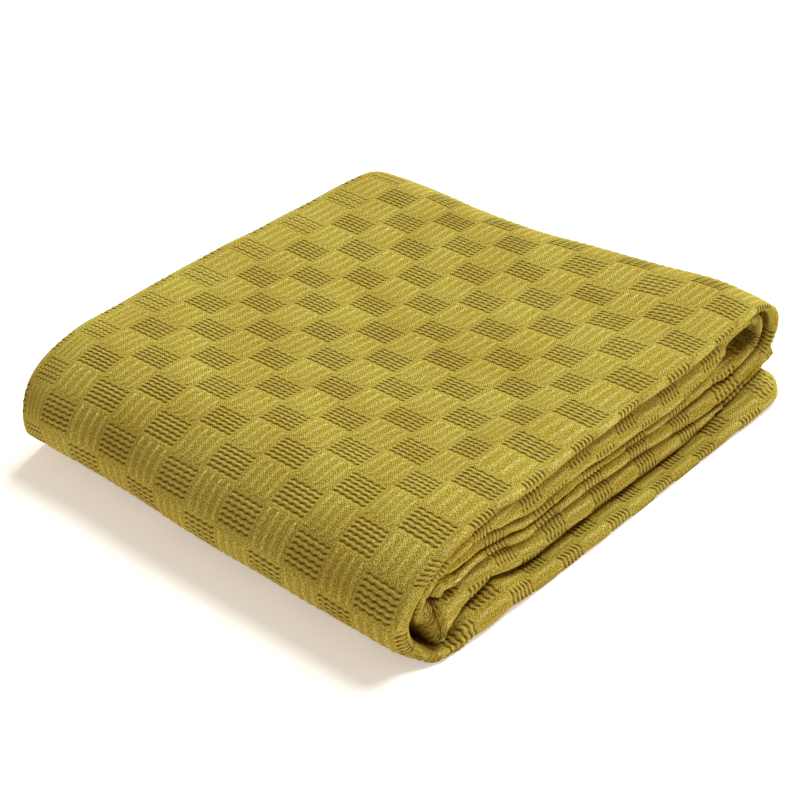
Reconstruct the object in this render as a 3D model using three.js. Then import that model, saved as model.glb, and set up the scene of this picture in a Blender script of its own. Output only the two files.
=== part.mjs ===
import * as THREE from "three";

// A woven cotton blanket, folded twice: across its width into four plies, back and forth,
// and then along its length into a low run, a top run over it and a middle run tucked in between.
// Millimetres. X runs along the rolled edges, -Y is the side that shows six rolled edges, Z is up
// and the floor is at 0.

// Driving sizes
const CLOTH = 2;                // thickness of the cloth
const STACK = 66;               // height of the folded stack
const SLIT = 0.35;              // half of the air left between two rolls that lie on each other
const PLIES = 4;                // layers in each run
const LAYERS = 12;              // layers in the whole stack
const TURN_LEFT_TOP = -115;     // where the top run starts to bend down on the left
const LEFT_TURN = 31.5;         // length of the bend's lower part, which comes down to the floor
const RIGHT_TURN = 35;          // length of the bend by which the top run turns under on the right
const SHARED_END = -134;        // the runs have their steps at the same places from here
const SHARED_LEFT = -100;       // over here
const SHARED_RIGHT = 120;       // to here
const FRONT_BLEND = 95;         // depth over which the front edge's shape fades into even layers
const EVEN_Y = -52;             // where the layers have become even
const FRONT_Y = -150;           // the front edge, without the play of its rolls
const BACK_Y = 170;             // the back edge
const ROLL_DEPTH = 0.85;        // depth of a rolled edge, as a share of its height
const ROLL_SHARPEN = 1;         // how much less deep a thin rolled edge is
const NUDGE = 0.01;             // share of a part over which a line's direction is taken

// Steps of the mesh
const FLAT_STEPS = 4;
const ROLL_STEPS = 5;
const FLAT_SPREAD = 0.8;        // below 1, a flat part's steps are wider at the back than in front

// Heights on the front edge, where the blanket shows six rolls: T1 and T2 of the top run, M1 and M2
// of the middle run, B1 and B2 of the low run. crown is the top of the stack, T1 to B1 are the feet
// of those rolls, and headM, headB and headB2 are the heads of M1, B1 and B2, which hang clear of
// the roll above in places.
const EDGE = [
  { x: -158, crown: 57, T1: 48, T2: 43, headM: 42.4, M1: 37.2, M2: 31.8, headB: 29.5, B1: 14, headB2: 14 },
  { x: -150, crown: 60, T1: 51.5, T2: 46, headM: 46, M1: 40.5, M2: 35, headB: 29.5, B1: 14.5, headB2: 14.5 },
  { x: -137, crown: 63.5, T1: 53.5, T2: 48, headM: 44.5, M1: 39, M2: 33.6, headB: 31, B1: 17, headB2: 17 },
  { x: -128, crown: 64.5, T1: 55, T2: 49.5, headM: 47.6, M1: 42, M2: 36.5, headB: 34.5, B1: 19, headB2: 19 },
  { x: -118, crown: 65, T1: 56.5, T2: 51, headM: 51, M1: 45.2, M2: 38.8, headB: 38.3, B1: 20, headB2: 20 },
  { x: -100, crown: 65.5, T1: 58, T2: 50.5, headM: 50.5, M1: 43, M2: 34.5, headB: 34.5, B1: 18, headB2: 18 },
  { x: -80, crown: 66, T1: 58, T2: 46, headM: 46, M1: 38, M2: 29, headB: 29, B1: 12.5, headB2: 12.5 },
  { x: -40, crown: 66, T1: 59, T2: 46.5, headM: 46.5, M1: 38, M2: 29, headB: 29, B1: 12.5, headB2: 12.5 },
  { x: 0, crown: 66, T1: 59.5, T2: 45, headM: 45, M1: 37.8, M2: 28, headB: 28, B1: 11, headB2: 11 },
  { x: 40, crown: 66, T1: 58.5, T2: 42.5, headM: 42.5, M1: 35.8, M2: 23.5, headB: 23.5, B1: 9, headB2: 9 },
  { x: 80, crown: 66, T1: 57.5, T2: 36.5, headM: 36.5, M1: 30, M2: 19, headB: 19, B1: 8, headB2: 8 },
  { x: 110, crown: 66.5, T1: 60, T2: 44, headM: 41, M1: 33, M2: 16.5, headB: 16.5, B1: 10, headB2: 10 },
  { x: 125, crown: 67, T1: 61, T2: 43.5, headM: 41.8, M1: 33.5, M2: 17, headB: 17, B1: 11.5, headB2: 11.5 },
  { x: 137, crown: 67.5, T1: 61.5, T2: 52.5, headM: 42.5, M1: 35, M2: 19, headB: 19, B1: 13.5, headB2: 13.5 },
  { x: 162, crown: 67, T1: 61, T2: 53, headM: 46, M1: 38.5, M2: 23.6, headB: 23.4, B1: 18, headB2: 18 },
  { x: 180, crown: 67, T1: 61, T2: 53, headM: 46, M1: 38.5, M2: 28, headB: 25.5, B1: 17.5, headB2: 15 },
  { x: 196, crown: 67, T1: 61, T2: 53, headM: 46, M1: 38.5, M2: 31, headB: 28, B1: 16, headB2: 10 },
];

// How far out each roll comes on the front edge
const ROLL_TIP = [
  { x: -158, T1: -149.5, T2: -147, M1: -145, M2: -146, B1: -147, B2: -165.5 },
  { x: -135, T1: -150.5, T2: -146, M1: -145, M2: -148, B1: -148, B2: -165.5 },
  { x: -110, T1: -151, T2: -147, M1: -146, M2: -147, B1: -150, B2: -165.5 },
  { x: -80, T1: -151.5, T2: -150, M1: -148, M2: -150, B1: -151, B2: -165 },
  { x: 0, T1: -151.5, T2: -151, M1: -148, M2: -150, B1: -152, B2: -166.5 },
  { x: 80, T1: -151.5, T2: -151, M1: -146, M2: -150, B1: -152, B2: -167 },
  { x: 110, T1: -151.5, T2: -150, M1: -147, M2: -151, B1: -150, B2: -167.5 },
  { x: 125, T1: -151.5, T2: -149, M1: -147, M2: -152, B1: -150, B2: -167.5 },
  { x: 137, T1: -151, T2: -143, M1: -147, M2: -152, B1: -150, B2: -168.5 },
  { x: 162, T1: -150, T2: -145, M1: -147, M2: -150.5, B1: -150, B2: -168.5 },
  { x: 178, T1: -149, T2: -144, M1: -147, M2: -150, B1: -151, B2: -167 },
  { x: 196, T1: -149, T2: -144, M1: -147, M2: -150, B1: -149, B2: -150 },
];

// The left bend of the outer ply, from front to back, how far in the other plies lie, and the
// height at which each ply comes furthest out, in front and at the back
const LEFT_SIDE = [
  { y: -165, out: 192.5 },
  { y: -145, out: 191 },
  { y: -110, out: 190 },
  { y: -60, out: 188.5 },
  { y: 0, out: 186.5 },
  { y: 40, out: 184.5 },
  { y: 95, out: 180.5 },
  { y: 140, out: 180 },
  { y: 170, out: 179.5 },
];
const LEFT_BEND = [
  { inset: 0, frontZ: 26, backZ: 28 },
  { inset: 6.5, frontZ: 28, backZ: 29 },
  { inset: 13, frontZ: 31, backZ: 31 },
  { inset: 19.5, frontZ: 33, backZ: 32 },
];

// The right bend of the outer ply, from front to back, and how far in the other plies lie
const RIGHT_BEND = [
  { y: -150, out: 198.5 },
  { y: -130, out: 202.5 },
  { y: -100, out: 204 },
  { y: -60, out: 197 },
  { y: -20, out: 190.5 },
  { y: 30, out: 184 },
  { y: 75, out: 183 },
  { y: 121, out: 186 },
  { y: 165, out: 185 },
];
const RIGHT_INSET = [0, 6, 15.5, 18.8];

// The back edge, and how far short of it each ply's hem or roll stops
const BACK_EDGE = [
  { x: -188, y: 156 },
  { x: -174, y: 164 },
  { x: -155, y: 167.5 },
  { x: -130, y: 168.5 },
  { x: -92, y: 168.5 },
  { x: -20, y: 170.5 },
  { x: 60, y: 169 },
  { x: 110, y: 169 },
  { x: 160, y: 167 },
  { x: 190, y: 158 },
];

// The free end of the low run: its outer pair of plies and its inner pair, from front to back
const LOW_END = [
  { y: -168, outer: 181, inner: 196 },
  { y: -150, outer: 186, inner: 197 },
  { y: -120, outer: 190, inner: 195 },
  { y: -60, outer: 185, inner: 186 },
  { y: 0, outer: 177, inner: 177 },
  { y: 165, outer: 171, inner: 171 },
];

// The free end of the middle run hangs in the left bend: where it starts to hang, how long the
// hanging part is and how far it curls, in radians
const TUCK = {
  front: { start: -147.5, length: 14, turn: 1.2 },
  back: { start: -136, length: 3, turn: 0.01 },
};

// Soft creases: one along the foot of the left bend, and one down the inner roll of that bend.
// at and width are shares of the bend's lower quarter.
const FOOT_CREASE = { at: 0.42, width: 0.14, depth: 1.4 };
const INNER_CREASE = { at: 0.35, width: 0.3, depth: 6 };
const TIP_TURN = 0.7;           // share of that quarter over which the low roll comes forward

const smooth = (t) => {
  const c = Math.min(1, Math.max(0, t));
  return c * c * (3 - 2 * c);
};
const mix = (a, b, t) => a + (b - a) * t;
const bell = (crease, t) => crease.depth * Math.exp(-(((t - crease.at) / crease.width) ** 2));

// Reads a column of a table at any place between its rows, as a smooth curve through them
function column(table, key, name, at) {
  const last = table.length - 1;
  const c = Math.min(table[last][key], Math.max(table[0][key], at));
  let i = 0;
  while (i < last - 1 && c > table[i + 1][key]) i += 1;
  const slope = (j) => {
    const a = table[Math.max(0, j - 1)];
    const b = table[Math.min(last, j + 1)];
    return (b[name] - a[name]) / (b[key] - a[key]);
  };
  const p = table[i];
  const q = table[i + 1];
  const span = q[key] - p[key];
  const t = (c - p[key]) / span;
  const t2 = t * t;
  const t3 = t2 * t;
  return (2 * t3 - 3 * t2 + 1) * p[name] + (t3 - 2 * t2 + t) * span * slope(i)
    + (3 * t2 - 2 * t3) * q[name] + (t3 - t2) * span * slope(i + 1);
}

// Middle of each layer's thickness on the front edge, counted from the top of the stack
function edgeLayer(layer, x) {
  const heads = ["crown", "T1", "headM", "M1", "headB", "headB2"];
  const feet = ["T1", "T2", "M1", "M2", "B1"];
  const inset = SLIT + CLOTH / 2;
  const roll = Math.floor(layer / 2);
  if (layer === 0) return column(EDGE, "x", "crown", x) - CLOTH / 2;
  if (layer === LAYERS - 1) return CLOTH / 2;
  if (layer % 2 === 0) return column(EDGE, "x", heads[roll], x) - inset;
  return column(EDGE, "x", feet[roll], x) + inset;
}

// How much of the front edge's shape is left at a depth y, from 1 at the edge to 0 inside
const nearFront = (y) => smooth((EVEN_Y - y) / FRONT_BLEND);

// Middle of each layer's thickness anywhere on the flat runs
function layerHeight(layer, x, y) {
  const even = STACK - CLOTH / 2 - (layer * (STACK - CLOTH)) / (LAYERS - 1);
  return mix(even, edgeLayer(layer, x), nearFront(y));
}

// The layer that a ply makes in a run, counted from the top of the stack
const LAYER_OF = {
  top: (ply) => ply,
  middle: (ply) => 2 * PLIES - 1 - ply,
  low: (ply) => LAYERS - 1 - ply,
};

// Where the left bend begins, on the floor
const turnLeft = (y) => LEFT_TURN - column(LEFT_SIDE, "y", "out", y);

// A ply's line through the left bend, t running from the floor to the side and on to the top
function leftBend(ply, run, t, y) {
  const bend = LEFT_BEND[ply];
  const share = smooth((y - FRONT_Y) / (BACK_Y - FRONT_Y));
  const sideX = bend.inset + CLOTH / 2 - column(LEFT_SIDE, "y", "out", y);
  const sideZ = mix(bend.frontZ, bend.backZ, share);
  const a = (t * Math.PI) / 2;
  if (run === "leftTop") {
    const topZ = layerHeight(LAYER_OF.top(ply), TURN_LEFT_TOP, y);
    return { x: mix(TURN_LEFT_TOP, sideX, Math.cos(a)), z: mix(sideZ, topZ, Math.sin(a)) };
  }
  const start = turnLeft(y);
  const lowZ = layerHeight(LAYER_OF.low(ply), start, y);
  const dent = ply === 0 ? bell(FOOT_CREASE, t) : 0;
  return {
    x: mix(start, sideX, Math.sin(a)) + dent * Math.sin(a),
    z: mix(sideZ, lowZ, Math.cos(a)) + dent * Math.cos(a),
  };
}

// Where the right bend begins
const turnRight = (y) => column(RIGHT_BEND, "y", "out", y) - RIGHT_TURN;

// A ply's line through the right bend, t running from the top down to the middle run
function rightBend(ply, t, y) {
  const a = t * Math.PI;
  const start = turnRight(y);
  const side = start + RIGHT_TURN - RIGHT_INSET[ply] - CLOTH / 2;
  const high = layerHeight(LAYER_OF.top(ply), start, y);
  const low = layerHeight(LAYER_OF.middle(ply), start, y);
  return {
    x: mix(start, side, Math.sin(a)),
    z: mix(low, high, (1 + Math.cos(a)) / 2),
  };
}

// Where the middle run starts to hang at its free end
const tuckStart = (y) => mix(TUCK.back.start, TUCK.front.start, nearFront(y));

// A ply's line through that hanging end, which curls down about a centre under it
function tuck(ply, t, y) {
  const share = nearFront(y);
  const turn = mix(TUCK.back.turn, TUCK.front.turn, share);
  const radius = mix(TUCK.back.length, TUCK.front.length, share) / turn;
  const start = tuckStart(y);
  const height = (p) => layerHeight(LAYER_OF.middle(p), start, y);
  const centre = (height(0) + height(PLIES - 1)) / 2;
  const reach = radius + height(ply) - centre;
  return { x: start - reach * Math.sin(turn * t), z: centre - radius + reach * Math.cos(turn * t) };
}

// The parts of the blanket's length, from the free end of its low run to that of its middle run.
// A flat part runs from one X to another, either of which may depend on the ply and the depth.
const lowEnd = (ply, y) => column(LOW_END, "y", ply < 2 ? "outer" : "inner", y);
const PARTS = [
  { run: "low", from: lowEnd, to: () => SHARED_RIGHT, steps: 4 },
  { run: "low", from: () => SHARED_RIGHT, to: () => SHARED_LEFT, steps: 11 },
  { run: "low", from: () => SHARED_LEFT, to: () => SHARED_END, steps: 3 },
  { run: "low", from: () => SHARED_END, to: (ply, y) => turnLeft(y), steps: 1 },
  { run: "leftLow", steps: 7 },
  { run: "leftTop", steps: 7 },
  { run: "top", from: () => TURN_LEFT_TOP, to: () => SHARED_LEFT, steps: 1 },
  { run: "top", from: () => SHARED_LEFT, to: () => SHARED_RIGHT, steps: 11 },
  { run: "top", from: () => SHARED_RIGHT, to: (ply, y) => turnRight(y), steps: 2 },
  { run: "right", steps: 8 },
  { run: "middle", from: (ply, y) => turnRight(y), to: () => SHARED_RIGHT, steps: 2 },
  { run: "middle", from: () => SHARED_RIGHT, to: () => SHARED_LEFT, steps: 11 },
  { run: "middle", from: () => SHARED_LEFT, to: () => SHARED_END, steps: 3 },
  { run: "middle", from: () => SHARED_END, to: (ply, y) => tuckStart(y), steps: 1 },
  { run: "tuck", steps: 4 },
];

// A ply's line in the XZ plane, at a station along the blanket and a depth y
function plyLine(ply, station, y) {
  const { part, t } = station;
  if (part.run === "leftLow" || part.run === "leftTop") return leftBend(ply, part.run, t, y);
  if (part.run === "right") return rightBend(ply, t, y);
  if (part.run === "tuck") return tuck(ply, t, y);
  const x = mix(part.from(ply, y), part.to(ply, y), t);
  return { x, z: layerHeight(LAYER_OF[part.run](ply), x, y) };
}

// How far out the front roll of a pair of plies comes at a station
function frontTip(pair, station) {
  const { part, t } = station;
  const run = part.run;
  const outer = pair === 0;
  const tip = (name, x) => column(ROLL_TIP, "x", name, x);
  const x = plyLine(2 * pair, station, FRONT_Y).x;
  if (run === "low") return tip(outer ? "B2" : "B1", x);
  if (run === "top") return tip(outer ? "T1" : "T2", x);
  const foot = turnLeft(FRONT_Y);
  const left = tip(outer ? "T1" : "T2", foot);
  const turn = turnRight(FRONT_Y);
  const right = tip(outer ? "T1" : "T2", turn);
  if (run === "leftLow") {
    const low = mix(tip(outer ? "B2" : "B1", foot), left, smooth(t / TIP_TURN));
    return outer ? low : low + bell(INNER_CREASE, t);
  }
  if (run === "leftTop") return mix(left, tip(outer ? "T1" : "T2", TURN_LEFT_TOP), t);
  if (run === "right") return mix(right, tip(outer ? "M2" : "M1", turn), t);
  return tip(outer ? "M2" : "M1", x);
}

// The stations along the blanket, from the end of its low run to the end of its middle run
function stationsAlong() {
  const list = [];
  for (const part of PARTS) {
    for (let i = list.length ? 1 : 0; i <= part.steps; i += 1) {
      list.push({ part, t: i / part.steps });
    }
  }
  return list;
}

// The stations across the blanket, from the hem of its outer ply to the hem of its inner one
function stationsAcross() {
  const list = [];
  for (let ply = 0; ply < PLIES; ply += 1) {
    const toFront = ply % 2 === 0;
    for (let i = 0; i <= FLAT_STEPS; i += 1) {
      const f = toFront ? i / FLAT_STEPS : 1 - i / FLAT_STEPS;
      list.push({ ply, along: f ** FLAT_SPREAD });
    }
    if (ply === PLIES - 1) break;
    for (let i = 1; i < ROLL_STEPS; i += 1) {
      list.push({ ply, turn: i / ROLL_STEPS, front: toFront });
    }
  }
  return list;
}

// The distance between two plies, square to them, at a station and a depth y
function plyGap(a, b, station, y) {
  const p = plyLine(a, station, y);
  const q = plyLine(b, station, y);
  const before = plyLine(a, { part: station.part, t: station.t - NUDGE }, y);
  const after = plyLine(a, { part: station.part, t: station.t + NUDGE }, y);
  const run = { x: after.x - before.x, z: after.z - before.z };
  return Math.abs((q.x - p.x) * run.z - (q.z - p.z) * run.x) / Math.hypot(run.x, run.z);
}

// One point of the cloth's middle surface
function clothPoint(station, across) {
  const pair = across.ply < 2 ? 0 : 1;
  const tip = frontTip(pair, station);
  const back = column(BACK_EDGE, "x", "y", plyLine(1, station, 0).x);
  const frontBulge = ROLL_DEPTH * plyGap(2 * pair, 2 * pair + 1, station, tip) - ROLL_SHARPEN;
  const backBulge = ROLL_DEPTH * plyGap(1, 2, station, back) - ROLL_SHARPEN;
  const frontEnd = tip + CLOTH / 2 + frontBulge;
  const backEnd = back - CLOTH / 2 - backBulge;
  if (across.turn === undefined) {
    const hem = across.ply === 0 || across.ply === PLIES - 1;
    const y = mix(hem ? back : backEnd, frontEnd, across.along);
    const p = plyLine(across.ply, station, y);
    return new THREE.Vector3(p.x, y, p.z);
  }
  const end = across.front ? frontEnd : backEnd;
  const bulge = across.front ? -frontBulge : backBulge;
  const p = plyLine(across.ply, station, end);
  const q = plyLine(across.ply + 1, station, end);
  const a = across.turn * Math.PI;
  const w = (1 - Math.cos(a)) / 2;
  return new THREE.Vector3(mix(p.x, q.x, w), end + bulge * Math.sin(a), mix(p.z, q.z, w));
}

// A closed sheet of the cloth's thickness around a grid of points of its middle surface
function thickSheet(rows) {
  const nu = rows.length;
  const nv = rows[0].length;
  const at = (i, j) => rows[Math.min(nu - 1, Math.max(0, i))][Math.min(nv - 1, Math.max(0, j))];
  const positions = [];
  for (const side of [1, -1]) {
    for (let i = 0; i < nu; i += 1) {
      for (let j = 0; j < nv; j += 1) {
        const along = new THREE.Vector3().subVectors(at(i + 1, j), at(i - 1, j));
        const across = new THREE.Vector3().subVectors(at(i, j + 1), at(i, j - 1));
        const normal = new THREE.Vector3().crossVectors(along, across).normalize();
        const p = at(i, j).clone().addScaledVector(normal, (side * CLOTH) / 2);
        positions.push(p.x, p.y, Math.max(0, p.z));
      }
    }
  }
  const faces = [];
  const id = (side, i, j) => side * nu * nv + i * nv + j;
  const quad = (a, b, c, d) => faces.push(a, b, c, a, c, d);
  for (let i = 0; i < nu - 1; i += 1) {
    for (let j = 0; j < nv - 1; j += 1) {
      quad(id(0, i, j), id(0, i + 1, j), id(0, i + 1, j + 1), id(0, i, j + 1));
      quad(id(1, i, j), id(1, i, j + 1), id(1, i + 1, j + 1), id(1, i + 1, j));
    }
  }
  for (let i = 0; i < nu - 1; i += 1) {
    quad(id(0, i + 1, 0), id(0, i, 0), id(1, i, 0), id(1, i + 1, 0));
    quad(id(0, i, nv - 1), id(0, i + 1, nv - 1), id(1, i + 1, nv - 1), id(1, i, nv - 1));
  }
  for (let j = 0; j < nv - 1; j += 1) {
    quad(id(0, 0, j), id(0, 0, j + 1), id(1, 0, j + 1), id(1, 0, j));
    quad(id(0, nu - 1, j + 1), id(0, nu - 1, j), id(1, nu - 1, j), id(1, nu - 1, j + 1));
  }
  const geometry = new THREE.BufferGeometry();
  geometry.setAttribute("position", new THREE.Float32BufferAttribute(positions, 3));
  geometry.setIndex(faces);
  return geometry;
}

// Moves a solid along the floor until its middle is over the origin
function overOrigin(geometry) {
  geometry.computeBoundingBox();
  const { min, max } = geometry.boundingBox;
  return geometry.translate(-(min.x + max.x) / 2, -(min.y + max.y) / 2, 0);
}

const along = stationsAlong();
const across = stationsAcross();
const rows = along.map((station) => across.map((place) => clothPoint(station, place)));

const group = new THREE.Group();
const weave = new THREE.MeshStandardMaterial({ color: 0x9a8426, roughness: 0.92, metalness: 0 });
const blanket = new THREE.Mesh(overOrigin(thickSheet(rows)), weave);
blanket.name = "blanket";
group.add(blanket);

export default group;
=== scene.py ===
import math

import bpy
import numpy as np
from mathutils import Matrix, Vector


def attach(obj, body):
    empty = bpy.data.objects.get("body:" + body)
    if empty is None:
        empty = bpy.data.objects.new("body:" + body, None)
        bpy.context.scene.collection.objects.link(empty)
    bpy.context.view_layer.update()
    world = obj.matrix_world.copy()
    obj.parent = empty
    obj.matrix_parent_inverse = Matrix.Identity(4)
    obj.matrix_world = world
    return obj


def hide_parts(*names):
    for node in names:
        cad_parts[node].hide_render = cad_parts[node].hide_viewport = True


# A woven cotton blanket, folded into a soft stack. Lengths are in millimetres until a mesh is made.
# X runs along the rolled edges, -Y is the side that shows six rolled edges and Z is up.

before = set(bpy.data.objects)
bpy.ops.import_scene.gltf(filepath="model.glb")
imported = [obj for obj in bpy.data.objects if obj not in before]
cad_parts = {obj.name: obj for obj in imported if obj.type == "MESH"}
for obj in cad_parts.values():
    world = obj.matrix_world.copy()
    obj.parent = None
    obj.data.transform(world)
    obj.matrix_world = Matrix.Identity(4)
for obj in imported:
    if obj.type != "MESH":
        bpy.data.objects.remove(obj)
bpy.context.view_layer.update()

# Driving sizes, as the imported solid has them
CLOTH = 2.0
STACK = 66.0
SLIT = 0.35
PLIES = 4
LAYERS = 12
TURN_LEFT_TOP = -115.0
LEFT_TURN = 31.5
RIGHT_TURN = 35.0
SHARED_END = -134.0
SHARED_LEFT = -100.0
SHARED_RIGHT = 120.0
FRONT_BLEND = 95.0
EVEN_Y = -52.0
FRONT_Y = -150.0
BACK_Y = 170.0
ROLL_DEPTH = 0.85
ROLL_SHARPEN = 1.0
NUDGE = 0.01  # share of a part over which a line's direction is taken
OFFSET = np.array([-5.208, -1.224, 0.0])  # puts the middle of the stack over the frame's origin
SHORT_OF_END = 1e-6  # keeps a place on the last part or stretch


class Table:
    """Rows of numbers with named columns, read between the rows as a smooth curve through them."""

    def __init__(self, names, rows):
        self.names = names.split()
        self.columns = dict(zip(self.names, np.array(rows, float).T))

    def at(self, name, place):
        keys = self.columns[self.names[0]]
        values = self.columns[name]
        place = np.clip(place, keys[0], keys[-1])
        i = np.clip(np.searchsorted(keys, place, side="right") - 1, 0, len(keys) - 2)
        before = np.maximum(np.arange(len(keys)) - 1, 0)
        after = np.minimum(np.arange(len(keys)) + 1, len(keys) - 1)
        slope = (values[after] - values[before]) / (keys[after] - keys[before])
        span = keys[i + 1] - keys[i]
        t = (place - keys[i]) / span
        t2 = t * t
        t3 = t2 * t
        return (
            (2 * t3 - 3 * t2 + 1) * values[i]
            + (t3 - 2 * t2 + t) * span * slope[i]
            + (3 * t2 - 2 * t3) * values[i + 1]
            + (t3 - t2) * span * slope[i + 1]
        )


# Heights on the front edge, from places read on the photo: the stack's crown, and the line
# that shows as the lower edge of each roll, T1 to B1 from the uppermost down
EDGE = Table("x crown T1 T2 M1 M2 B1", [
    (-158, 57, 54.5, 51.5, 47, 35.5, 7),
    (-150, 60, 56, 51.5, 44.5, 34.5, 9.5),
    (-142, 62, 56.5, 51.5, 41, 31.5, 14),
    (-134, 64, 56.5, 51, 40, 34, 15.5),
    (-126, 64.5, 58.5, 51, 41, 35.5, 16.5),
    (-118, 65, 60, 51, 41, 36, 18),
    (-108, 65.5, 61, 50.5, 40, 34.5, 20),
    (-98, 65.5, 61.5, 48, 38, 32.5, 16.5),
    (-86, 66, 60.5, 45, 35.5, 28.5, 12.5),
    (-72, 66, 59.5, 42, 32, 25.5, 10),
    (-50, 66, 60.5, 42.5, 32, 26.5, 10),
    (-20, 66, 61.5, 43.5, 34, 26, 10),
    (10, 66, 62.5, 40.5, 32.5, 24, 9),
    (40, 66.5, 62.5, 39.5, 31.5, 22, 7.5),
    (70, 66.5, 60, 37.5, 28.5, 18.5, 6.5),
    (90, 66.5, 61, 39, 27.5, 16.5, 6),
    (110, 66.5, 62.5, 41.5, 28, 16, 7),
    (125, 67, 63, 43, 28.5, 15, 9),
    (134, 67.5, 63.5, 44.5, 27.5, 15, 9.5),
    (139, 67.5, 63.5, 50, 26, 15.5, 10),
    (144, 67.5, 63.5, 54, 26, 16, 10.5),
    (152, 67.5, 63.5, 54, 27, 17, 11.5),
    (165, 67, 63.5, 54, 29.5, 20, 14.5),
    (180, 67, 63, 54, 31, 25.5, 17),
    (196, 67, 62.5, 54, 34, 29.5, 17),
])

# How far the heads of M1, B1 and B2 hang clear of the roll above
HANG = Table("x M1 B1 B2", [
    (-158, 0, 2.5, 0), (-134, 0, 2, 0), (-126, 0, 0, 0), (125, 0, 0, 0), (134, 2.5, 0, 0),
    (139, 11, 0, 0), (144, 17, 0, 0), (165, 17, 0, 0), (180, 15, 1.5, 2), (196, 13, 2.5, 5.5),
])
ROLLS = ("T1", "T2", "M1", "M2", "B1", "B2")
LINE_SHARE = 0.15  # how high on a roll its lower edge shows, as a share of its height
LEAST_ROLL = 4.4  # least height of a roll, and of its foot over the floor

# How far out each roll comes on the front edge
ROLL_TIP = Table("x T1 T2 M1 M2 B1 B2", [
    (-158, -150, -149, -147, -148.5, -156, -161),
    (-148, -150.5, -149.5, -147.5, -149, -154, -162),
    (-135, -151, -150, -148, -150, -152, -163),
    (-110, -151.2, -150, -148, -150, -152, -163.5),
    (-80, -151.5, -150, -148, -150, -152, -164.5),
    (0, -151.5, -151, -148, -150, -152.5, -166),
    (80, -151.5, -151, -147, -150, -152.5, -166.5),
    (110, -151.5, -150, -147, -151, -152, -167),
    (125, -151.5, -149, -147, -151.5, -152, -167),
    (137, -151, -147, -147, -151.5, -152, -168),
    (162, -150, -146.5, -147, -151, -151, -168),
    (178, -149, -145, -147, -150.5, -151, -166),
    (196, -149, -145, -147, -150.5, -149, -150),
])

# The left bend: how far out the outer ply comes, how far in the others lie, and how high each
# ply comes furthest out, in front and at the back
LEFT_SIDE = Table("y out", [
    (-165, 192.5), (-145, 191), (-110, 190), (-60, 188.5), (0, 186.5),
    (40, 184.5), (95, 180.5), (140, 180), (170, 179.5),
])
LEFT_INSET_FRONT = (0, 13.5, 19, 23)
LEFT_INSET_BACK = (0, 6.5, 13, 19.5)
LEFT_FRONT_Z = (26, 28, 31, 33)
LEFT_BACK_Z = (31, 31.5, 32, 32.5)
INSET_BLEND = 130.0  # depth over which the front insets become the back ones

# The right bend of the outer ply and how far in the others lie
RIGHT_SIDE = Table("y out", [
    (-150, 198.5), (-130, 202.5), (-100, 204), (-60, 197), (-20, 190.5),
    (30, 184), (75, 183), (121, 186), (165, 185),
])
RIGHT_INSET = (0, 6, 15.5, 18.8)

# How far back the cloth comes
BACK_EDGE = Table("x y", [
    (-188, 152), (-174, 160.5), (-155, 164.5), (-130, 166.5), (-92, 168),
    (-20, 170.5), (60, 169), (110, 169), (160, 167), (190, 158),
])

# The free end of the low run, outer pair of plies and inner pair
LOW_END = Table("y outer inner", [
    (-168, 181, 196), (-150, 186, 197), (-120, 190, 195),
    (-60, 185, 186), (0, 177, 177), (165, 171, 171),
])

# The free end of the middle run, which hangs and curls in the left bend
TUCK_FRONT = {"start": -147.5, "length": 14, "turn": 1.2}
TUCK_BACK = {"start": -136, "length": 3, "turn": 0.01}

# Soft creases on the left bend's lower quarter: place, width and depth
FOOT_CREASE = (0.44, 0.16, 1.2)
INNER_CREASE = (0.3, 0.25, -4)
INNER_DENT = (0.5, 0.3, 17)
FOOT_BACK = 3.5  # how many times deeper the foot's crease is at the back
FOOT_BACK_Y, FOOT_BACK_BLEND = 70.0, 90.0  # where it starts to deepen, and over what depth
DENT_SHARE = (0, 0, 0.3, 1)  # share of the inner dent that each ply takes
DENT_REACH = 45.0  # how far back the dent goes
TIP_TURN = 0.7  # share of the quarter over which a roll goes in from its low place

# The rolled edges come furthest out below their middle: share of their height from the ply above
DROOP = 0.74


def smooth(t):
    c = np.clip(t, 0, 1)
    return c * c * (3 - 2 * c)


def mix(a, b, t):
    return a + (b - a) * t


def bell(crease, t):
    place, width, depth = crease
    return depth * np.exp(-(((t - place) / width) ** 2))


def front_roll(roll, x):
    """Head and foot of a roll on the front edge, counted from the uppermost."""
    foot = EDGE.at("crown", x)
    for name in ROLLS[:roll + 1]:
        head = foot - (HANG.at(name, x) if name in HANG.names else 0)
        if name in EDGE.names:
            foot = (EDGE.at(name, x) - LINE_SHARE * head) / (1 - LINE_SHARE)
            foot = np.clip(foot, LEAST_ROLL, head - LEAST_ROLL)
    return head, foot


def edge_layer(layer, x):
    """Middle of each layer's thickness on the front edge, counted from the top."""
    if layer == 0:
        return EDGE.at("crown", x) - CLOTH / 2
    if layer == LAYERS - 1:
        return np.full_like(x, CLOTH / 2)
    head, foot = front_roll(layer // 2, x)
    inset = SLIT + CLOTH / 2
    return head - inset if layer % 2 == 0 else foot + inset


def near_front(y):
    return smooth((EVEN_Y - y) / FRONT_BLEND)


def ply_height(run, ply, x, y):
    """Middle of a ply's thickness in one of the three runs."""
    layer = {"top": ply, "middle": 2 * PLIES - 1 - ply, "low": LAYERS - 1 - ply}[run]
    even = STACK - CLOTH / 2 - layer * (STACK - CLOTH) / (LAYERS - 1)
    return mix(even, edge_layer(layer, x), near_front(y))


def turn_left(y):
    return LEFT_TURN - LEFT_SIDE.at("out", y)


def turn_right(y):
    return RIGHT_SIDE.at("out", y) - RIGHT_TURN


def tuck_start(y):
    return mix(TUCK_BACK["start"], TUCK_FRONT["start"], near_front(y))


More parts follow.
